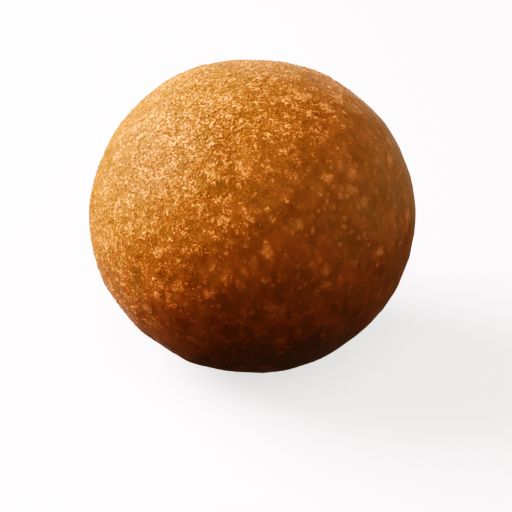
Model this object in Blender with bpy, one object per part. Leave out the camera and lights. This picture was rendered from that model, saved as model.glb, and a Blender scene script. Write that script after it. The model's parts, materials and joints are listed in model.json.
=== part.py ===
"""Mahua ladoo: one hand-rolled sweet ball with a grainy surface, standing on a small flat spot.

Metres, +Z up. The ball stands on z = 0 and its bounding box is centred over the origin.
Run with: blender --background --python part.py
"""

import math

import bmesh
import bpy
from mathutils import Vector, noise

# Driving sizes
WIDTH = 0.0500  # across the ball, at its widest
RISE = 0.0237  # from the widest level up to the top, which has sunk a little
DROP = 0.0247  # from the widest level down to the lowest point, before the flat spot
FLAT_SPOT_RADIUS = 0.0075  # the spot it rests on

# How far from a true round the hands left it
ROLLED_WAVE = 0.034  # one slow wave of the out-of-round shape
ROLLED_DEPTH = 0.00035
ROLLED_SEED = Vector((3.7, 1.9, 8.2))

# Broad presses of the palms: (direction from the middle, radius of the press, height; minus is a dent)
PRESSES = (
    (Vector((0.00, 0.47, 0.88)), 0.0070, -0.00022),
    (Vector((-0.50, 0.41, 0.76)), 0.0090, 0.00016),
    (Vector((0.39, 0.43, 0.81)), 0.0045, 0.00012),
    (Vector((-0.10, -0.80, 0.50)), 0.0090, -0.00018),
    (Vector((0.85, 0.50, 0.05)), 0.0110, -0.00022),
    (Vector((-0.60, 0.75, -0.20)), 0.0120, -0.00020),
    (Vector((0.55, -0.60, -0.55)), 0.0100, -0.00018),
)

# Lumps of the mixture, and the grains on them: the finest wave that the faces below can carry
LUMP_WAVE = 0.0095
LUMP_DEPTH = 0.00018
LUMP_SEED = Vector((11.3, 5.1, 2.6))
GRAIN_WAVE = 0.0034
GRAIN_DEPTH = 0.00024
GRAIN_SEED = Vector((6.4, 14.8, 9.5))

# Faces along each edge of the cube that is blown up into the ball: 12 * 30 * 30 = 10,800 triangles
CELLS = 30

PASTE_COLOUR = (0.47, 0.20, 0.045, 1.0)
PASTE_ROUGHNESS = 0.48


def clear_scene():
    for obj in list(bpy.data.objects):
        bpy.data.objects.remove(obj, do_unlink=True)


def paste_material():
    """Amber sweet paste, greasy with ghee."""
    material = bpy.data.materials.new("ladoo_paste")
    material.use_nodes = True
    shader = material.node_tree.nodes["Principled BSDF"]
    shader.inputs["Base Color"].default_value = PASTE_COLOUR
    shader.inputs["Roughness"].default_value = PASTE_ROUGHNESS
    shader.inputs["Metallic"].default_value = 0.0
    return material


def even_direction(corner):
    """The direction of a point on the cube [-1, 1], spread so that the faces come out of like size."""
    return Vector(math.tan(side * math.pi / 4) for side in corner).normalized()


def rolled_surface(direction):
    """The round of the ball, from the middle of its widest level: lower above that level than below it."""
    level = math.hypot(direction.x, direction.y) / (WIDTH / 2)
    upright = direction.z / (RISE if direction.z > 0 else DROP)
    return direction / math.hypot(level, upright)


def press_height(place):
    """How far the palm presses move the surface at this place."""
    height = 0.0
    for towards, radius, depth in PRESSES:
        middle = rolled_surface(towards.normalized())
        distance = (place - middle).length
        height += depth * math.exp(-((distance / radius) ** 2))
    return height


def relief_height(place):
    """Unevenness of the whole ball, then its lumps, then the grains that stand on the lumps."""
    rolled = ROLLED_DEPTH * noise.noise(place / ROLLED_WAVE + ROLLED_SEED)
    lumps = LUMP_DEPTH * noise.noise(place / LUMP_WAVE + LUMP_SEED)
    grains = GRAIN_DEPTH * noise.noise(place / GRAIN_WAVE + GRAIN_SEED)
    return rolled + lumps + grains + press_height(place)


def flat_spot_level():
    """Height, from the ball's widest level, of the plane that cuts a spot of FLAT_SPOT_RADIUS."""
    share = FLAT_SPOT_RADIUS / (WIDTH / 2)
    return -DROP * math.sqrt(1 - share * share)


def ball_point(corner):
    """Where a point of the cube ends up on the ladoo, from the middle of its widest level."""
    direction = even_direction(corner)
    place = rolled_surface(direction)
    place += direction * relief_height(place)
    floor = flat_spot_level()
    if place.z < floor:
        place *= floor / place.z
    return place


def stand_on_origin(mesh):
    """Moves the mesh so that its box is centred over the origin and its flat spot lies on z = 0."""
    low = [min(vertex.co[axis] for vertex in mesh.verts) for axis in range(3)]
    high = [max(vertex.co[axis] for vertex in mesh.verts) for axis in range(3)]
    shift = Vector((-(low[0] + high[0]) / 2, -(low[1] + high[1]) / 2, -low[2]))
    bmesh.ops.translate(mesh, verts=mesh.verts, vec=shift)


def build_ladoo(material):
    mesh = bmesh.new()
    bmesh.ops.create_cube(mesh, size=2.0)
    bmesh.ops.subdivide_edges(mesh, edges=mesh.edges, cuts=CELLS - 1, use_grid_fill=True)
    for vertex in mesh.verts:
        vertex.co = ball_point(vertex.co)
    stand_on_origin(mesh)
    bmesh.ops.recalc_face_normals(mesh, faces=mesh.faces)

    data = bpy.data.meshes.new("ladoo")
    mesh.to_mesh(data)
    mesh.free()
    data.materials.append(material)
    for polygon in data.polygons:
        polygon.use_smooth = True
    return bpy.data.objects.new("ladoo", data)


def main():
    clear_scene()
    parts = bpy.data.collections.new("mahua_ladoo")
    bpy.context.scene.collection.children.link(parts)
    parts.objects.link(build_ladoo(paste_material()))


main()
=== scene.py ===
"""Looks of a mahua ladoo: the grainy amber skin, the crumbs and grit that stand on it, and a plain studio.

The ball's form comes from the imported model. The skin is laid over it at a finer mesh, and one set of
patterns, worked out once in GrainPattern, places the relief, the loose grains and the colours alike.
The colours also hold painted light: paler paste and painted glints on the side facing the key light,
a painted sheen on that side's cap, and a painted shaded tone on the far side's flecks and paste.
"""

from __future__ import annotations

import json
import logging
import math
from dataclasses import dataclass, field
from enum import Enum
from typing import Any, Mapping, Sequence, Union

import bpy
from mathutils import Matrix, Vector

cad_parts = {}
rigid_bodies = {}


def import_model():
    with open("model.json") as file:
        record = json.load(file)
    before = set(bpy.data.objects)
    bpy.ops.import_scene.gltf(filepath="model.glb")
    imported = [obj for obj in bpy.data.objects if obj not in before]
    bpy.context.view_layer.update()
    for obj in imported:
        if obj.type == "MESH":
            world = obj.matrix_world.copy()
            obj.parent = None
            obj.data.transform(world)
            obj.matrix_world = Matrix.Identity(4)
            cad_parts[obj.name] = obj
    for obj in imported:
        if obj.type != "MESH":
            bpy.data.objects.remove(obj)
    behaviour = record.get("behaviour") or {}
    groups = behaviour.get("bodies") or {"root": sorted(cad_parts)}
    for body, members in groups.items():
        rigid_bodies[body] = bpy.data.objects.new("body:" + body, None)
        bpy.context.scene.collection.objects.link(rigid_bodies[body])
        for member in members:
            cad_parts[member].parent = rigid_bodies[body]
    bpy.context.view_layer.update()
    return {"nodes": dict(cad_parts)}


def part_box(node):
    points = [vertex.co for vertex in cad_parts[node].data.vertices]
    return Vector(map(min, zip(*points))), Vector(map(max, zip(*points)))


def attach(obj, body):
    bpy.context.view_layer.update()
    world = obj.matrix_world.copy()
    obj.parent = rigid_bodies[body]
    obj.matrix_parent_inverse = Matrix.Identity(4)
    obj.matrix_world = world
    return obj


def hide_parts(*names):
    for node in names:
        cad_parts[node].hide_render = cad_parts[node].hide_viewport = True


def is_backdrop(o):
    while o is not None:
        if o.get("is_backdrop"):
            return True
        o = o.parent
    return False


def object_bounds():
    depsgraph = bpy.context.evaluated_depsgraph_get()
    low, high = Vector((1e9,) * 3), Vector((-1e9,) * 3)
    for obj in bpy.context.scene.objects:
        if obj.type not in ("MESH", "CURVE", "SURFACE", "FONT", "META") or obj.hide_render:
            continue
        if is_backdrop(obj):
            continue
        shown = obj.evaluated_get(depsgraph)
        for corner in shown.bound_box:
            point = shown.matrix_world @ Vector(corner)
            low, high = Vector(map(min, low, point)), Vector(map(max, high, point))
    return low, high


LOG = logging.getLogger("mahua_ladoo")

MM = 0.001
NODE = "ladoo"
BODY = "root"

Colour = tuple[float, float, float, float]
Rise = tuple[float, float]
Operand = Union["Term", float, int]


# ---------------------------------------------------------------- node trees


class Term:
    """A socket of a node tree, on which Python's operators add Math and Vector Math nodes."""

    def __init__(self, bench: "Bench", socket: bpy.types.NodeSocket) -> None:
        """Wraps one output socket.

        Args:
            bench: the tree that the socket's node is in.
            socket: the output socket.
        """
        self.bench = bench
        self.socket = socket

    @property
    def is_vector(self) -> bool:
        """Whether the socket carries three numbers."""
        return self.socket.type in ("VECTOR", "RGBA")

    def sibling(self, name: str) -> "Term":
        """Another output of the same node, by its name."""
        return Term(self.bench, self.bench.socket(self.socket.node.outputs, name))

    def _joined(self, operation: str, first: Operand, second: Operand) -> "Term":
        """One Math node, or a Vector Math node where a vector comes in.

        Args:
            operation: the node's operation.
            first: its first value.
            second: its second one.

        Returns:
            The result.
        """
        vectors = [isinstance(side, Term) and side.is_vector for side in (first, second)]
        if not any(vectors):
            return self.bench.node("ShaderNodeMath", {"operation": operation}, {0: first, 1: second})
        if operation == "MULTIPLY" and not all(vectors):
            vector, number = (first, second) if vectors[0] else (second, first)
            return self.bench.node(
                "ShaderNodeVectorMath", {"operation": "SCALE"}, {"Vector": vector, "Scale": number}
            )
        return self.bench.node("ShaderNodeVectorMath", {"operation": operation}, {0: first, 1: second})

    def __add__(self, other: Operand) -> "Term":
        """self + other."""
        return self._joined("ADD", self, other)

    def __radd__(self, other: Operand) -> "Term":
        """other + self."""
        return self._joined("ADD", other, self)

    def __sub__(self, other: Operand) -> "Term":
        """self - other."""
        return self._joined("SUBTRACT", self, other)

    def __rsub__(self, other: Operand) -> "Term":
        """other - self."""
        return self._joined("SUBTRACT", other, self)

    def __mul__(self, other: Operand) -> "Term":
        """self * other."""
        return self._joined("MULTIPLY", self, other)

    def __rmul__(self, other: Operand) -> "Term":
        """other * self."""
        return self._joined("MULTIPLY", other, self)

    def step(self, low: Operand, high: Operand) -> "Term":
        """A smooth rise from 0 at low to 1 at high.

        Args:
            low: where the rise starts; it may be above high, and the rise is then a fall.
            high: where it ends.

        Returns:
            The share between 0 and 1.
        """
        return self.bench.node(
            "ShaderNodeMapRange",
            {"interpolation_type": "SMOOTHSTEP"},
            {"Value": self, "From Min": low, "From Max": high},
        )

    def clamped(self) -> "Term":
        """The value kept between 0 and 1."""
        return self.bench.node("ShaderNodeClamp", {}, {"Value": self})

    def larger(self, other: Operand) -> "Term":
        """The larger of the two values."""
        return self._joined("MAXIMUM", self, other)


class Bench:
    """A node tree under work, shader or geometry: it makes nodes and hands out their sockets as terms."""

    def __init__(self, tree: bpy.types.NodeTree) -> None:
        """Takes an empty tree, or one whose nodes stay as they are."""
        self.tree = tree

    @staticmethod
    def socket(sockets: Any, name: Union[str, int]) -> bpy.types.NodeSocket:
        """Finds a socket, and of several with the same name the one in use.

        Args:
            sockets: a node's inputs or outputs.
            name: its place among them, or its name.

        Returns:
            The socket.
        """
        if isinstance(name, int):
            return sockets[name]
        return next(each for each in sockets if each.name == name and each.enabled)

    def plug(self, target: bpy.types.NodeSocket, value: Any) -> None:
        """Links a term to a socket, or sets the socket's own value.

        Args:
            target: an input socket.
            value: the term or the value.
        """
        if isinstance(value, Term):
            self.tree.links.new(value.socket, target)
        else:
            target.default_value = value

    def node(
        self,
        kind: str,
        settings: Mapping[str, Any],
        inputs: Mapping[Union[str, int], Any],
        output: Union[str, int] = 0,
    ) -> Term:
        """Makes any node.

        Args:
            kind: the node's type name.
            settings: its properties, set before its sockets.
            inputs: a value or a term for each socket that is used.
            output: the output that the term stands for.

        Returns:
            The chosen output.
        """
        made = self.tree.nodes.new(kind)
        for name, value in settings.items():
            setattr(made, name, value)
        for name, value in inputs.items():
            self.plug(self.socket(made.inputs, name), value)
        return Term(self, self.socket(made.outputs, output))

    def noise(self, place: Term, wave: float, detail: float = 2.0, roughness: float = 0.5) -> Term:
        """Cloudy noise around 0.5.

        Args:
            place: the point that it is read at, in metres.
            wave: the size of its largest clouds, in metres.
            detail: how many finer layers are added.
            roughness: how strong each finer layer is.

        Returns:
            The noise's value.
        """
        return self.node(
            "ShaderNodeTexNoise",
            {"noise_dimensions": "3D"},
            {"Vector": place, "Scale": 1 / wave, "Detail": detail, "Roughness": roughness},
            "Fac",
        )

    def shaken(self, place: Term, wave: float, reach: float) -> Term:
        """The point moved about by noise, so that what is read there comes out uneven.

        Args:
            place: the point, in metres.
            wave: the size of the noise's clouds.
            reach: how far the point moves, from one side to the other.

        Returns:
            The moved point.
        """
        waver = self.node(
            "ShaderNodeTexNoise",
            {"noise_dimensions": "3D"},
            {"Vector": place, "Scale": 1 / wave, "Detail": 1.0},
            "Color",
        )
        return place + (waver - self.vector((0.5, 0.5, 0.5))) * reach

    def vector(self, numbers: Sequence[float]) -> Term:
        """A fixed vector as a term.

        Args:
            numbers: its three numbers.

        Returns:
            The vector.
        """
        return self.node(
            "ShaderNodeCombineXYZ", {}, {"X": numbers[0], "Y": numbers[1], "Z": numbers[2]}
        )

    def mix(self, share: Operand, first: Any, second: Any) -> Term:
        """One colour turned into another.

        Args:
            share: how far it is turned, from 0 to 1.
            first: the colour at 0.
            second: the colour at 1.

        Returns:
            The colour between them.
        """
        return self.node(
            "ShaderNodeMix",
            {"data_type": "RGBA", "clamp_factor": True},
            {"Factor": share, "A": first, "B": second},
            "Result",
        )


# ---------------------------------------------------------------- patterns


@dataclass(frozen=True)
class GrainPattern:
    """Where the pale grains of the mixture show. Relief, loose grains and colours all read it.

    The crowded side is the one that the grains lie uncovered on, and it faces the key light; on the far
    side, fat covers them. The colours hold painted light along it: paler paste, paler flecks and painted
    glints on the lit side, and a painted shaded tone on the far side. Each Rise says where something
    starts and where it is full, from the ball's middle towards that side.

    Attributes:
        crowded_lit_side: the direction from the ball's middle to the crowded side, which faces the key
            light.
        middle: height of the ball's middle.
        flecks_lit_bare: the flecks' rise out of the fat, towards the key light; the paste is painted paler
            along it.
        granules_lit_bare: the finest granules' rise out of it, along which their painted glints grow.
        crinkles_lit_bare: the crinkles' rise out of it, towards the key light.
        rubbed_sheen_cap: the rise of the cap that faces the key light, smoothed flat by the palms and
            painted paler as a sheen.
        patch_wave: size of the thick and thin patches.
        fleck_gap: distance between the large flecks, which are small heaps of grains.
        bit_gap: distance between the small flecks.
        heap_wave: size of the uneven spots within a fleck.
        pebble_wave: size of the pressed crumbs that make the whole surface uneven.
        granule_gap: distance between the finest granules.
    """

    crowded_lit_side: Vector = field(default_factory=lambda: Vector((-0.65, 0.25, 0.60)))
    middle: float = 23.5 * MM
    flecks_lit_bare: Rise = (-12 * MM, 8 * MM)
    granules_lit_bare: Rise = (-9 * MM, 8 * MM)
    crinkles_lit_bare: Rise = (4 * MM, 20 * MM)
    rubbed_sheen_cap: Rise = (20.5 * MM, 25 * MM)
    patch_wave: float = 7.0 * MM
    fleck_gap: float = 2.0 * MM
    bit_gap: float = 0.95 * MM
    heap_wave: float = 0.5 * MM
    pebble_wave: float = 1.5 * MM
    granule_gap: float = 0.21 * MM

    def toward(self, bench: Bench, place: Term) -> Term:
        """How far a point lies from the ball's middle towards the crowded side, which faces the key light.

        Args:
            bench: the tree under work.
            place: the point.

        Returns:
            The distance in metres, negative on the far side.
        """
        return bench.node(
            "ShaderNodeVectorMath",
            {"operation": "DOT_PRODUCT"},
            {0: place - bench.vector((0.0, 0.0, self.middle)), 1: self.crowded_lit_side.normalized()},
            "Value",
        )

    def sheen_and_rubbed(self, bench: Bench, place: Term) -> Term:
        """How far the palms have smoothed the crowded side's grains flat and even, from 0 to 1; this cap
        is also painted paler, as a sheen.
        """
        return self.toward(bench, place).step(*self.rubbed_sheen_cap)

    def lit_bareness(self, bench: Bench, place: Term) -> tuple[Term, Term, Term]:
        """How little fat lies over the grains: 1 on the crowded side, which faces the key light, 0 on the
        far side; the colours paint light and shade along it.

        Args:
            bench: the tree under work.
            place: the point that it is read at.

        Returns:
            It for the flecks, for the finest granules and for the crinkles.
        """
        toward = self.toward(bench, place)
        return (
            toward.step(*self.flecks_lit_bare),
            toward.step(*self.granules_lit_bare),
            toward.step(*self.crinkles_lit_bare),
        )

    def flecks(self, bench: Bench, place: Term, gap: float, crowd: Term, sharp: Term) -> Term:
        """Soft-edged spots, each of its own size and strength.

        Args:
            bench: the tree under work.
            place: the point that they are read at.
            gap: distance between the middles of two spots.
            crowd: the share of the spots that are there.
            sharp: how sharp their edges are, from 0 to 1.

        Returns:
            How strong the spot is here, from 0 to 1.
        """
        shaken = bench.shaken(place, gap * 0.45, gap * 0.75)
        cell = bench.node(
            "ShaderNodeTexVoronoi",
            {"feature": "F1"},
            {"Vector": shaken, "Scale": 1 / gap, "Randomness": 1.0},
            "Distance",
        )
        # Each spot has three draws: X says whether it is there, Y how large it is and Z how strong.
        draws = bench.node("ShaderNodeSeparateXYZ", {}, {"Vector": cell.sibling("Color")}, "X")
        there = ((crowd - draws) * 6.0).clamped()
        size = (0.26 + 0.52 * draws.sibling("Y")) * (0.95 + 0.05 * sharp)
        core = size * (0.34 * sharp)
        return cell.step(size, core) * there * (0.25 + 0.75 * draws.sibling("Z"))

    def cover(self, bench: Bench, place: Term) -> Term:
        """How much of a pale fleck is here. It makes the paste paler and raises it.

        Args:
            bench: the tree under work.
            place: the point that it is read at.

        Returns:
            The share from 0 to 1.
        """
        lit_bare, _, lit_crisp = self.lit_bareness(bench, place)
        patches = bench.noise(place, self.patch_wave, 1.5)
        crowd = 0.56 + 0.17 * lit_bare + 0.07 * lit_crisp + (patches - 0.5) * (0.6 + 0.4 * lit_bare)
        # Read elsewhere, the small flecks fall apart from the large ones.
        aside = place + bench.vector((0.1, 0.2, 0.3))
        large = self.flecks(bench, place, self.fleck_gap, crowd - 0.08 * (1.0 - lit_bare), lit_bare)
        small = self.flecks(bench, aside, self.bit_gap, crowd, lit_bare)
        heap = bench.noise(place, self.heap_wave, 1.0)
        return (large.larger(small * (0.72 + 0.18 * lit_bare)) * (0.60 + 0.80 * heap)).clamped()

    def pebbles(self, bench: Bench, place: Term) -> Term:
        """The pressed crumbs all over, around 0.5."""
        return bench.noise(place, self.pebble_wave, 1.0, 0.5)

    def granules(self, bench: Bench, place: Term) -> tuple[Term, Term]:
        """The finest granules: small facets that lean every way.

        Args:
            bench: the tree under work.
            place: the point that they are read at.

        Returns:
            The facets' height in metres, and the granule's lot, from 0 to 1.
        """
        cell = bench.node(
            "ShaderNodeTexVoronoi",
            {"feature": "F1"},
            {"Vector": place, "Scale": 1 / self.granule_gap, "Randomness": 1.0},
            "Distance",
        )
        lean = cell.sibling("Color") - bench.vector((0.5, 0.5, 0.5))
        height = bench.node(
            "ShaderNodeVectorMath",
            {"operation": "DOT_PRODUCT"},
            {0: place - cell.sibling("Position"), 1: lean},
            "Value",
        )
        return height, bench.node("ShaderNodeSeparateXYZ", {}, {"Vector": cell.sibling("Color")}, "X")


PATTERN = GrainPattern()


# ---------------------------------------------------------------- finishes


class Finish:
    """What every finish shares: a material with a Principled shader, read on Object coordinates."""

    name: str

    def dress(self, piece: bpy.types.Object) -> None:
        """Makes the material and puts it on the piece, alone.

        Args:
            piece: the mesh object that gets it.
        """
        material = bpy.data.materials.new(self.name)
        material.use_nodes = True
        bench = Bench(material.node_tree)
        shader = material.node_tree.nodes["Principled BSDF"]
        place = bench.node("ShaderNodeTexCoord", {}, {}, "Object")
        self.paint(bench, shader, place)
        piece.data.materials.clear()
        piece.data.materials.append(material)

    def paint(self, bench: Bench, shader: bpy.types.ShaderNode, place: Term) -> None:
        """Sets the shader's sockets.

        Args:
            bench: the material's tree.
            shader: its Principled node.
            place: the Object coordinates.
        """
        raise NotImplementedError


@dataclass(frozen=True)
class PasteSpot:
    """What the pattern holds at a point of the paste.

    Attributes:
        place: the Object coordinates.
        cover: how much of a pale fleck is here.
        lit_bare: how little fat lies over the flecks; high towards the key light, where they are painted
            paler.
        lit_dry: how little lies over the finest granules; high where their painted glints show.
        lit_crisp: how far the crinkles stand out of it, towards the key light.
        sheen_and_rubbed: how far the palms have smoothed the grains flat, on the cap that is painted paler
            as a sheen.
    """

    place: Term
    cover: Term
    lit_bare: Term
    lit_dry: Term
    lit_crisp: Term
    sheen_and_rubbed: Term


@dataclass(frozen=True)
class PasteFinish(Finish):
    """Amber paste with pale grains pressed in it, greasy with ghee.

    Attributes:
        name: the material's name.
        deep_and_shaded: the darkest paste, where it holds the fewest grains and in painted shade on the
            far side.
        amber: the paste itself.
        pale: paste full of grains.
        cream: the barest grains, reached mostly where the key light falls, through painted light.
        shaded_fleck: a fleck on the far side, under fat, in a painted shaded tone.
        drift_wave: size of the slow changes of tone.
        blotch_wave: size of the quicker ones.
        streak_wave: width of the upright streaks on the far side.
        streak_stretch: that width as a share of their height.
        crinkle_wave: size of the fine crinkles.
        crinkle: the crinkles' height.
        lean: how steeply the finest granules' facets lean.
        scatter_depth: how far light goes in the paste.
        scatter_spread: the share of that depth for red, green and blue.
        sheen: the bloom of a dried surface, which pales it at a flat look.
    """

    name: str = "amber_paste"
    deep_and_shaded: Colour = (0.240, 0.104, 0.006, 1.0)
    amber: Colour = (0.392, 0.145, 0.030, 1.0)
    pale: Colour = (0.720, 0.254, 0.088, 1.0)
    cream: Colour = (1.000, 0.370, 0.158, 1.0)
    shaded_fleck: Colour = (0.560, 0.262, 0.115, 1.0)
    drift_wave: float = 5.0 * MM
    blotch_wave: float = 1.6 * MM
    streak_wave: float = 0.8 * MM
    streak_stretch: float = 0.3
    crinkle_wave: float = 0.6 * MM
    crinkle: float = 0.17 * MM
    lean: float = 0.85
    scatter_depth: float = 1.6 * MM
    scatter_spread: tuple[float, float, float] = (1.0, 0.40, 0.12)
    sheen: Colour = (1.0, 0.86, 0.82, 1.0)

    def paint(self, bench: Bench, shader: bpy.types.ShaderNode, place: Term) -> None:
        """Sets the shader's sockets.

        Args:
            bench: the material's tree.
            shader: its Principled node.
            place: the Object coordinates.
        """
        cover = PATTERN.cover(bench, place)
        lit_bare, lit_dry, lit_crisp = PATTERN.lit_bareness(bench, place)
        sheen_and_rubbed = PATTERN.sheen_and_rubbed(bench, place)
        spot = PasteSpot(place, cover, lit_bare, lit_dry, lit_crisp, sheen_and_rubbed)
        facet, lot = PATTERN.granules(bench, place)
        bench.plug(shader.inputs["Base Color"], self._colour(bench, spot, lot))
        bench.plug(shader.inputs["Normal"], self._bump(bench, spot, facet))
        bench.plug(shader.inputs["Roughness"], 0.68 - 0.18 * lit_bare - 0.06 * lit_crisp + 0.10 * cover)
        bench.plug(shader.inputs["Coat Weight"], 0.58 * (1.0 - lit_bare))
        shader.inputs["Coat Roughness"].default_value = 0.55
        shader.inputs["Specular IOR Level"].default_value = 0.13
        shader.inputs["Sheen Weight"].default_value = 0.16
        shader.inputs["Sheen Roughness"].default_value = 0.40
        shader.inputs["Sheen Tint"].default_value = self.sheen
        shader.inputs["Subsurface Weight"].default_value = 0.30
        shader.inputs["Subsurface Radius"].default_value = self.scatter_spread
        shader.inputs["Subsurface Scale"].default_value = self.scatter_depth

    def _colour(self, bench: Bench, spot: PasteSpot, lot: Term) -> Term:
        """The paste's colour, by how pale the grains make it, with light and shade painted in by where the
        key light falls.

        Args:
            bench: the material's tree.
            spot: what the pattern holds here.
            lot: the finest granule's own draw.

        Returns:
            The colour.
        """
        cover, lit_bare, lit_dry, lit_crisp, sheen_and_rubbed = spot.cover, spot.lit_bare, spot.lit_dry, spot.lit_crisp, spot.sheen_and_rubbed
        drift = bench.noise(spot.place, self.drift_wave, 3.0)
        blotch = bench.noise(spot.place, self.blotch_wave, 2.0)
        drawn = spot.place * bench.vector((1.0, 1.0, self.streak_stretch))
        streak = bench.noise(drawn, self.streak_wave, 2.0)
        # The paste's clouds, painted paler towards the key, streaks where the fat lies, then flecks and
        # painted glints.
        paleness = 0.08 + 0.14 * lit_bare + (drift - 0.5) * 0.56 + (blotch - 0.5) * 0.56
        paleness = paleness + (streak - 0.5) * (1.0 - lit_bare) * 0.5
        # Flecks are painted paler towards the key light, and the cap facing it paler still, as a painted
        # sheen.
        paleness = paleness + cover * (0.26 + 0.36 * lit_bare - 0.20 * sheen_and_rubbed) + 0.16 * sheen_and_rubbed
        # Each granule's own random tone, strongest towards the key light, where it paints glints.
        painted_glint = lot * lot * 1.75 - 0.49
        grainy = 0.08 + 0.22 * lit_dry + 0.16 * lit_crisp + 0.95 * cover
        paleness = paleness + painted_glint * (0.20 + 0.80 * lit_dry - 0.40 * sheen_and_rubbed) * grainy
        colour = bench.mix((paleness * 2.5).clamped(), self.deep_and_shaded, self.amber)
        colour = bench.mix(((paleness - 0.4) * 3.0).clamped(), colour, self.pale)
        colour = bench.mix(((paleness - 0.73) * 4.0).clamped(), colour, self.cream)
        # Far-side flecks take a painted shaded tone.
        return bench.mix(cover * (1.0 - lit_bare) * 0.66, colour, self.shaded_fleck)

    def _bump(self, bench: Bench, spot: PasteSpot, facet: Term) -> Term:
        """The finest granules and the crinkles, too small for the mesh.

        Args:
            bench: the material's tree.
            spot: what the pattern holds here.
            facet: the finest granules' facets, as heights.

        Returns:
            The normal.
        """
        cover, lit_dry, lit_crisp, sheen_and_rubbed = spot.cover, spot.lit_dry, spot.lit_crisp, spot.sheen_and_rubbed
        crinkles = bench.noise(spot.place, self.crinkle_wave, 2.0, 0.6)
        rough = (0.08 + 0.32 * lit_dry) * (0.4 + 0.6 * cover) + 0.60 * lit_crisp - 0.40 * sheen_and_rubbed
        height = facet * self.lean * rough
        height = height + (crinkles - 0.5) * self.crinkle * (0.08 + 0.92 * lit_crisp - 0.40 * sheen_and_rubbed)
        return bench.node(
            "ShaderNodeBump", {}, {"Strength": 1.0, "Distance": 1.0, "Height": height}, "Normal"
        )


@dataclass(frozen=True)
class GrainFinish(Finish):
    """Pale grain or grit, each crumb of its own tone.

    Attributes:
        name: the material's name.
        dark: the darkest crumb.
        light: the palest one.
        roughness: the smoothest crumb's roughness.
        cloud_wave: size of the changes of tone on a crumb.
    """

    name: str
    dark: Colour
    light: Colour
    roughness: float
    cloud_wave: float = 0.5 * MM

    def paint(self, bench: Bench, shader: bpy.types.ShaderNode, place: Term) -> None:
        """Sets the shader's sockets.

        Args:
            bench: the material's tree.
            shader: its Principled node.
            place: the Object coordinates.
        """
        tone = bench.node("ShaderNodeAttribute", {"attribute_name": "tone"}, {}, "Fac")
        cloud = bench.noise(place, self.cloud_wave, 2.0)
        share = (tone * 0.8 + (cloud - 0.5) * 0.8).clamped()
        bench.plug(shader.inputs["Base Color"], bench.mix(share, self.dark, self.light))
        bench.plug(shader.inputs["Roughness"], self.roughness + 0.15 * cloud)
        shader.inputs["Subsurface Weight"].default_value = 0.25
        shader.inputs["Subsurface Radius"].default_value = (1.0, 0.5, 0.2)
        shader.inputs["Subsurface Scale"].default_value = 0.6 * MM


# ---------------------------------------------------------------- modelling helpers


def deselect_all() -> None:
    """Leaves nothing selected, as an operator acts on all that is."""
    bpy.ops.object.select_all(action="DESELECT")


def make_active(piece: bpy.types.Object) -> None:
    """Selects one piece alone and makes it the active one.

    Args:
        piece: the object that the next operator acts on.
    """
    deselect_all()
    piece.select_set(True)
    bpy.context.view_layer.objects.active = piece


def apply_modifier(piece: bpy.types.Object, kind: str, **settings: Any) -> None:
    """Adds a modifier with these settings and applies it.

    Args:
        piece: the object that gets it.
        kind: the modifier's type name.
        **settings: its properties.
    """
    make_active(piece)
    modifier = piece.modifiers.new(kind.lower(), kind)
    for name, value in settings.items():
        setattr(modifier, name, value)
    bpy.ops.object.modifier_apply(modifier=modifier.name)


def geometry_group(name: str) -> tuple[Bench, Term, bpy.types.Node]:
    """An empty Geometry Nodes group with one geometry in and one out.

    Args:
        name: the group's name.

    Returns:
        Its bench, the geometry that comes in, and the output node.
    """
    tree = bpy.data.node_groups.new(name, "GeometryNodeTree")
    for way in ("INPUT", "OUTPUT"):
        tree.interface.new_socket("Geometry", in_out=way, socket_type="NodeSocketGeometry")
    bench = Bench(tree)
    coming = bench.node("NodeGroupInput", {}, {}, "Geometry")
    leaving = tree.nodes.new("NodeGroupOutput")
    return bench, coming, leaving


# ---------------------------------------------------------------- the ladoo


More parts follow.
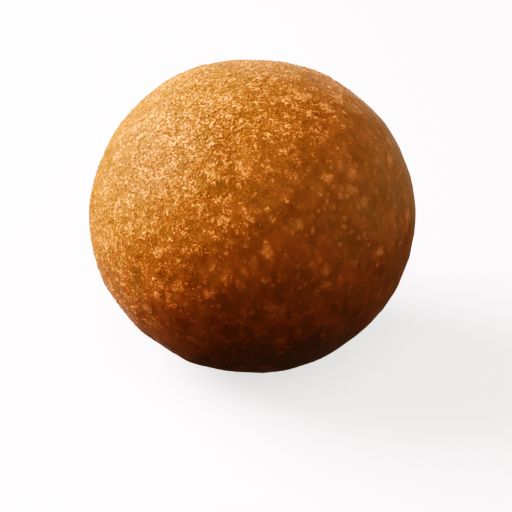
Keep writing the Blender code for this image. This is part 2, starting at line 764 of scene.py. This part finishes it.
@dataclass
class LadooSkin:
    """The ball's surface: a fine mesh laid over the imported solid, with crumbs and flecks raised on it.

    Attributes:
        levels: halvings of the cube's faces, 7 for 98,304 faces of about 0.3 mm.
        smoothing: passes that take the solid's facets out.
        lump_wave: size of the slow lumps.
        lump_height: how far they rise and fall.
        pebble_height: how far the pressed crumbs do.
        fleck_height: how far a pale fleck stands up.
        foot: heights above the flat spot between which the relief fades in.
    """

    levels: int = 7
    smoothing: int = 44
    lump_wave: float = 4.5 * MM
    lump_height: float = 0.06 * MM
    pebble_height: float = 0.11 * MM
    fleck_height: float = 0.08 * MM
    foot: Rise = (0.15 * MM, 1.2 * MM)

    def build(self) -> bpy.types.Object:
        """Models the skin.

        Returns:
            The finished mesh object.
        """
        low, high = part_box(NODE)
        deselect_all()
        bpy.ops.mesh.primitive_cube_add(size=(high - low).length, location=(low + high) / 2)
        skin = bpy.context.object
        skin.name = "ladoo_skin"
        self._lay_out_map(skin)
        apply_modifier(skin, "SUBSURF", levels=self.levels, render_levels=self.levels)
        bpy.ops.object.mode_set(mode="EDIT")
        bpy.ops.mesh.select_all(action="SELECT")
        bpy.ops.transform.tosphere(value=1.0)
        bpy.ops.object.mode_set(mode="OBJECT")
        bpy.ops.object.transform_apply(location=True, rotation=True, scale=True)
        apply_modifier(
            skin,
            "SHRINKWRAP",
            target=bpy.data.objects[NODE],
            wrap_method="PROJECT",
            use_negative_direction=True,
            use_positive_direction=True,
        )
        apply_modifier(skin, "SMOOTH", factor=0.5, iterations=self.smoothing)
        self._raise_relief(skin)
        make_active(skin)
        bpy.ops.object.shade_smooth()
        return skin

    @staticmethod
    def _lay_out_map(skin: bpy.types.Object) -> None:
        """Lays the cube's six faces side by side on a map of 3 by 2 cells.

        Args:
            skin: the cube, before it is divided.
        """
        margin = 0.004
        corners = ((0, 0), (1, 0), (1, 1), (0, 1))
        layer = skin.data.uv_layers.active
        layer.name = "OFBake"
        for face in skin.data.polygons:
            column, row = face.index % 3, face.index // 3
            for loop, (across, up) in zip(face.loop_indices, corners):
                layer.data[loop].uv = (
                    (column + margin + across * (1 - 2 * margin)) / 3,
                    (row + margin + up * (1 - 2 * margin)) / 2,
                )

    def _raise_relief(self, skin: bpy.types.Object) -> None:
        """Moves each point along its normal by the height of the pattern there.

        Args:
            skin: the smooth skin.
        """
        bench, coming, leaving = geometry_group("ladoo_relief")
        place = bench.node("GeometryNodeInputPosition", {}, {})
        normal = bench.node("GeometryNodeInputNormal", {}, {})
        cover = PATTERN.cover(bench, place)
        lumps = bench.noise(place, self.lump_wave, 1.0)
        height = (lumps - 0.5) * self.lump_height
        height = height + (PATTERN.pebbles(bench, place) - 0.5) * self.pebble_height
        height = height + cover * self.fleck_height
        level = bench.node("ShaderNodeSeparateXYZ", {}, {"Vector": place}, "Z")
        height = height * level.step(*self.foot)
        moved = bench.node(
            "GeometryNodeSetPosition", {}, {"Geometry": coming, "Offset": normal * height}
        )
        bench.plug(leaving.inputs["Geometry"], moved)
        apply_modifier(skin, "NODES", node_group=bench.tree)

    def dress(self, skin: bpy.types.Object) -> None:
        """Gives the skin its finish."""
        PasteFinish().dress(skin)


class Cut(Enum):
    """What a crumb starts from: the primitive's number of faces."""

    CRYSTAL = "octahedron"
    CRUMB = "icosahedron"


@dataclass
class LooseGrains:
    """Grains of one kind that stand on the skin, sunk in it for the most part.

    Attributes:
        name: the piece's name.
        cut: what each grain's shape starts from.
        finish: what the grains look like.
        smallest: width of the smallest grain.
        largest: width of the largest.
        flatness: a grain's height as a share of its width.
        sunk: how far its middle lies under the skin, as a share of its width.
        spacing: least distance between two grains.
        density: most grains for each square metre.
        spread: share of the density that also falls between the flecks.
        seed: start of the random draws.
        foot: heights above the flat spot between which the grains begin.
        variety: how many shapes they come in.
        unevenness: how far a shape's points are pushed about.
        tilt: how far a grain leans from the normal, at most, in radians.
    """

    name: str
    cut: Cut
    finish: GrainFinish
    smallest: float
    largest: float
    flatness: float
    sunk: float
    spacing: float
    density: float
    spread: float
    seed: int
    foot: Rise = (0.6 * MM, 1.6 * MM)
    variety: int = 6
    unevenness: float = 0.13
    tilt: float = 0.3

    def build(self, skin: bpy.types.Object) -> bpy.types.Object:
        """Scatters the grains.

        Args:
            skin: the finished skin that they stand on.

        Returns:
            All of them as one mesh object.
        """
        shapes = self._shapes()
        deselect_all()
        bpy.ops.mesh.primitive_plane_add(size=MM)
        grains = bpy.context.object
        grains.name = self.name
        bench, _, leaving = geometry_group(self.name + "_scatter")
        bench.plug(leaving.inputs["Geometry"], self._scattered(bench, skin, shapes))
        apply_modifier(grains, "NODES", node_group=bench.tree)
        for shape in list(shapes.objects):
            bpy.data.objects.remove(shape)
        bpy.data.collections.remove(shapes)
        return grains

    def _shapes(self) -> bpy.types.Collection:
        """Makes a few uneven crumbs of unit width, each from a primitive whose points are pushed about.

        Returns:
            A collection of them, which the finished piece does without.
        """
        shapes = bpy.data.collections.new(self.name + "_shapes")
        bpy.context.scene.collection.children.link(shapes)
        for number in range(self.variety):
            deselect_all()
            if self.cut is Cut.CRYSTAL:
                bpy.ops.mesh.primitive_uv_sphere_add(segments=4, ring_count=2, radius=0.5)
            else:
                bpy.ops.mesh.primitive_ico_sphere_add(subdivisions=1, radius=0.5)
            crumb = bpy.context.object
            bpy.ops.object.mode_set(mode="EDIT")
            bpy.ops.mesh.select_all(action="SELECT")
            bpy.ops.transform.vertex_random(offset=self.unevenness, seed=self.seed + number)
            bpy.ops.object.mode_set(mode="OBJECT")
            for collection in list(crumb.users_collection):
                collection.objects.unlink(crumb)
            shapes.objects.link(crumb)
        return shapes

    def _scattered(
        self, bench: Bench, skin: bpy.types.Object, shapes: bpy.types.Collection
    ) -> Term:
        """The nodes that place the grains.

        Args:
            bench: the scattering group.
            skin: the skin that they stand on.
            shapes: the crumbs to choose from.

        Returns:
            The grains' geometry.
        """
        ground = bench.node("GeometryNodeObjectInfo", {}, {"Object": skin}, "Geometry")
        place = bench.node("GeometryNodeInputPosition", {}, {})
        cover = PATTERN.cover(bench, place)
        _, lit_dry, _ = PATTERN.lit_bareness(bench, place)
        # The cube of it keeps single grains out of the shade, where each would show as a bright dot.
        thick = lit_dry * lit_dry * lit_dry * (self.spread + (1 - self.spread) * cover)
        level = bench.node("ShaderNodeSeparateXYZ", {}, {"Vector": place}, "Z")
        share = thick * level.step(*self.foot)
        points = bench.node(
            "GeometryNodeDistributePointsOnFaces",
            {"distribute_method": "POISSON"},
            {
                "Mesh": ground,
                "Distance Min": self.spacing,
                "Density Max": self.density,
                "Density Factor": share,
                "Seed": self.seed,
            },
            "Points",
        )
        toned = bench.node(
            "GeometryNodeStoreNamedAttribute",
            {"data_type": "FLOAT", "domain": "POINT"},
            {"Geometry": points, "Name": "tone", "Value": self._random(bench, 0.0, 1.0, 1)},
        )
        width = self._random(bench, 0.0, 1.0, 2)
        width = self.smallest + (width * width) * (self.largest - self.smallest)
        turned = bench.node(
            "FunctionNodeRotateRotation",
            {"rotation_space": "LOCAL"},
            {"Rotation": points.sibling("Rotation"), "Rotate By": self._turn(bench)},
        )
        scale = bench.node(
            "ShaderNodeCombineXYZ",
            {},
            {
                "X": width,
                "Y": width * self._random(bench, 0.65, 1.0, 3),
                "Z": width * self.flatness * self._random(bench, 0.8, 1.2, 4),
            },
        )
        crumbs = bench.node(
            "GeometryNodeCollectionInfo",
            {},
            {"Collection": shapes, "Separate Children": True, "Reset Children": True},
            "Instances",
        )
        placed = bench.node(
            "GeometryNodeInstanceOnPoints",
            {},
            {
                "Points": toned,
                "Instance": crumbs,
                "Pick Instance": True,
                "Instance Index": bench.node(
                    "FunctionNodeRandomValue",
                    {"data_type": "INT"},
                    {"Min": 0, "Max": self.variety - 1, "Seed": self.seed + 5},
                    "Value",
                ),
                "Rotation": turned,
                "Scale": scale,
            },
            "Instances",
        )
        sunk = bench.node(
            "ShaderNodeCombineXYZ", {}, {"X": 0.0, "Y": 0.0, "Z": width * -self.sunk}
        )
        lowered = bench.node(
            "GeometryNodeTranslateInstances", {}, {"Instances": placed, "Translation": sunk}
        )
        return bench.node("GeometryNodeRealizeInstances", {}, {"Geometry": lowered})

    def _random(self, bench: Bench, low: float, high: float, number: int) -> Term:
        """A random number for each grain.

        Args:
            bench: the scattering group.
            low: the least that it may be.
            high: the most.
            number: the draw's own number, which keeps the draws apart.

        Returns:
            The random number.
        """
        return bench.node(
            "FunctionNodeRandomValue",
            {"data_type": "FLOAT"},
            {"Min": low, "Max": high, "Seed": self.seed + number},
            "Value",
        )

    def _turn(self, bench: Bench) -> Term:
        """A turn about the normal, with a little tilt.

        Args:
            bench: the scattering group.

        Returns:
            The three angles in radians.
        """
        least = (-self.tilt, -self.tilt, -math.pi)
        most = (self.tilt, self.tilt, math.pi)
        return bench.node(
            "FunctionNodeRandomValue",
            {"data_type": "FLOAT_VECTOR"},
            {"Min": least, "Max": most, "Seed": self.seed + 6},
            "Value",
        )

    def dress(self, grains: bpy.types.Object) -> None:
        """Gives the grains their finish."""
        self.finish.dress(grains)


# ---------------------------------------------------------------- studio


@dataclass(frozen=True)
class SoftBox:
    """A square area light that looks at the ball.

    Attributes:
        name: the light's name.
        toward: direction from the ball to the light.
        distance: how far it is from the ball's middle.
        width: the square's side.
        power: in watts.
        colour: its tint.
    """

    name: str
    toward: tuple[float, float, float]
    distance: float
    width: float
    power: float
    colour: tuple[float, float, float] = (1.0, 1.0, 1.0)

    def place(self, aim: Vector) -> None:
        """Adds the light.

        Args:
            aim: the point that it looks at.
        """
        data = bpy.data.lights.new(self.name, "AREA")
        data.shape = "SQUARE"
        data.size = self.width
        data.energy = self.power
        data.color = self.colour
        light = bpy.data.objects.new(self.name, data)
        bpy.context.scene.collection.objects.link(light)
        direction = Vector(self.toward).normalized()
        light.location = aim + direction * self.distance
        light.rotation_euler = direction.to_track_quat("Z", "Y").to_euler()
        light.visible_camera = False


@dataclass(frozen=True)
class ToneCurve:
    """The camera's tone curve: how bright each channel of the light shows, soft at both ends.

    Attributes:
        white: the light that shows as pure white.
        stops: (light, how bright it shows) between black and white.
    """

    white: float = 1.6
    stops: tuple[tuple[float, float], ...] = (
        (0.039, 0.010),
        (0.098, 0.076),
        (0.24, 0.31),
        (0.36, 0.47),
        (0.60, 0.69),
        (0.90, 0.85),
        (1.25, 0.95),
    )

    def set(self) -> None:
        """Sets it on the scene's view."""
        view = bpy.context.scene.view_settings
        view.view_transform = "Standard"
        view.use_curve_mapping = True
        mapping = view.curve_mapping
        mapping.white_level = (self.white,) * 3
        for light, shown in self.stops:
            mapping.curves[3].points.new(light / self.white, shown)
        mapping.update()


@dataclass
class Studio:
    """Camera, lights, floor and backdrop.

    Attributes:
        elevation: how far the camera looks down, in degrees.
        lens: focal length in millimetres, on a 36 mm wide frame.
        frame: side of the square image, in pixels.
        ball_middle: where the ball's middle shows in the image, in pixels.
        ball_radius: half the ball's width there, in pixels.
        reach: from the middle of the floor to its edge, in metres.
    """

    elevation: float = 28.5
    lens: float = 120.0
    frame: int = 512
    ball_middle: tuple[float, float] = (252.7, 213.5)
    ball_radius: float = 164.0
    reach: float = 3.0

    def build(self) -> None:
        """Sets up everything that isn't the ladoo."""
        low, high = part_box(NODE)
        middle = (low + high) / 2
        self._set_camera(middle, (high.x - low.x) / 2)
        self._set_lights(middle)
        self._lay_floor()
        self._hang_backdrop()
        ToneCurve().set()

    def _set_camera(self, middle: Vector, radius: float) -> None:
        """Puts the camera where the ball has its size and place in the image.

        Args:
            middle: the ball's middle.
            radius: half its width.
        """
        data = bpy.data.cameras.new("camera")
        data.lens = self.lens
        data.sensor_width = 36.0
        data.clip_start = 0.01
        camera = bpy.data.objects.new("camera", data)
        bpy.context.scene.collection.objects.link(camera)
        pixels = self.lens / data.sensor_width * self.frame
        distance = radius * math.hypot(1.0, pixels / self.ball_radius)
        turn = Matrix.Rotation(math.radians(90 - self.elevation), 3, "X")
        right, up, back = turn.col
        across = (self.ball_middle[0] - self.frame / 2) * distance / pixels
        above = (self.frame / 2 - self.ball_middle[1]) * distance / pixels
        camera.location = middle + back * distance - right * across - up * above
        camera.rotation_euler = turn.to_euler()
        bpy.context.scene.camera = camera

    @staticmethod
    def _set_lights(middle: Vector) -> None:
        """Adds the key, three fills, two weak lights from behind and a weak even sky.

        Args:
            middle: the ball's middle.
        """
        # Name, direction, distance, width, power and colour.
        lights = (
            SoftBox("key", (-0.80, 0.25, 0.54), 0.45, 0.36, 4.9, (1.0, 0.86, 1.0)),
            SoftBox("top", (0.10, -0.50, 0.82), 0.50, 0.40, 0.96, (1.0, 1.0, 0.85)),
            SoftBox("right", (0.90, -0.12, 0.23), 0.50, 0.60, 1.12, (1.0, 0.87, 0.88)),
            SoftBox("low_left", (-0.76, -0.64, 0.04), 0.50, 0.35, 0.95, (1.0, 0.82, 0.44)),
            SoftBox("edge", (0.72, 0.68, 0.12), 0.50, 0.35, 0.26, (1.0, 0.88, 0.90)),
            SoftBox("back", (0.08, 0.99, 0.02), 0.50, 0.45, 0.50, (1.0, 0.86, 0.68)),
        )
        for light in lights:
            light.place(middle)
        world = bpy.data.worlds.new("studio")
        world.use_nodes = True
        sky = world.node_tree.nodes["Background"]
        sky.inputs["Color"].default_value = (1.0, 1.0, 1.0, 1.0)
        sky.inputs["Strength"].default_value = 0.05
        bpy.context.scene.world = world

    def _lay_floor(self) -> None:
        """Lays a plain pale floor."""
        deselect_all()
        bpy.ops.mesh.primitive_plane_add(size=2 * self.reach)
        self._dress_stage(bpy.context.object, "floor", base=0.55, glow=0.60)

    def _hang_backdrop(self) -> None:
        """Closes the room with a plain pale dome, which casts no shadow."""
        deselect_all()
        bpy.ops.mesh.primitive_uv_sphere_add(segments=64, ring_count=32, radius=self.reach)
        backdrop = bpy.context.object
        self._dress_stage(backdrop, "backdrop", base=0.0, glow=0.62)
        backdrop.visible_shadow = False

    @staticmethod
    def _dress_stage(piece: bpy.types.Object, name: str, base: float, glow: float) -> None:
        """Makes a piece of the studio plain and pale; it shows, and lights nothing else.

        Args:
            piece: the floor or the backdrop.
            name: its name, also its material's.
            base: how much light it throws back.
            glow: how bright it is by itself.
        """
        piece.name = name
        material = bpy.data.materials.new(name)
        material.use_nodes = True
        shader = material.node_tree.nodes["Principled BSDF"]
        shader.inputs["Base Color"].default_value = (base, base, base, 1.0)
        shader.inputs["Roughness"].default_value = 0.85
        shader.inputs["Specular IOR Level"].default_value = 0.0
        shader.inputs["Emission Color"].default_value = (1.0, 1.0, 1.0, 1.0)
        shader.inputs["Emission Strength"].default_value = glow
        piece.data.materials.append(material)
        piece.visible_diffuse = False
        piece.visible_glossy = False
        piece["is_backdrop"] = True


# ---------------------------------------------------------------- assembly


def corners() -> list[list[float]]:
    """The object's box as plain lists."""
    return [[float(number) for number in corner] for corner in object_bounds()]


def main() -> None:
    """Builds the ladoo's pieces in order and sets up the studio."""
    logging.basicConfig(level=logging.INFO, format="%(name)s: %(message)s")
    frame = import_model()
    LOG.info("packed nodes: %d", len(frame["nodes"]))

    skin_maker = LadooSkin()
    skin = skin_maker.build()
    skin_maker.dress(skin)
    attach(skin, BODY)
    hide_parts(NODE)
    LOG.info("%s: %d faces", skin.name, len(skin.data.polygons))

    amber = GrainFinish("amber_grit", (0.40, 0.14, 0.025, 1), (0.66, 0.24, 0.060, 1), 0.45)
    pale = GrainFinish("pale_grain", (0.58, 0.21, 0.050, 1), (0.92, 0.38, 0.130, 1), 0.45)
    bright = GrainFinish("bright_grit", (0.74, 0.28, 0.075, 1), (0.98, 0.45, 0.170, 1), 0.35)
    kinds = (
        LooseGrains(
            name="coarse_crumbs",
            cut=Cut.CRUMB,
            finish=pale,
            smallest=0.35 * MM,
            largest=0.80 * MM,
            flatness=0.36,
            sunk=0.14,
            spacing=0.9 * MM,
            density=0.5e6,
            spread=0.0,
            seed=21,
        ),
        LooseGrains(
            name="pale_grit",
            cut=Cut.CRYSTAL,
            finish=bright,
            smallest=0.14 * MM,
            largest=0.28 * MM,
            flatness=0.8,
            sunk=0.20,
            spacing=0.20 * MM,
            density=9.0e6,
            spread=0.15,
            seed=47,
        ),
        LooseGrains(
            name="amber_grit",
            cut=Cut.CRYSTAL,
            finish=amber,
            smallest=0.16 * MM,
            largest=0.32 * MM,
            flatness=0.8,
            sunk=0.20,
            spacing=0.22 * MM,
            density=6.0e6,
            spread=0.30,
            seed=63,
        ),
    )
    for kind in kinds:
        grains = kind.build(skin)
        kind.dress(grains)
        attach(grains, BODY)
        LOG.info("%s: %d faces", grains.name, len(grains.data.polygons))

    Studio().build()


if __name__ == "__main__":
    main()
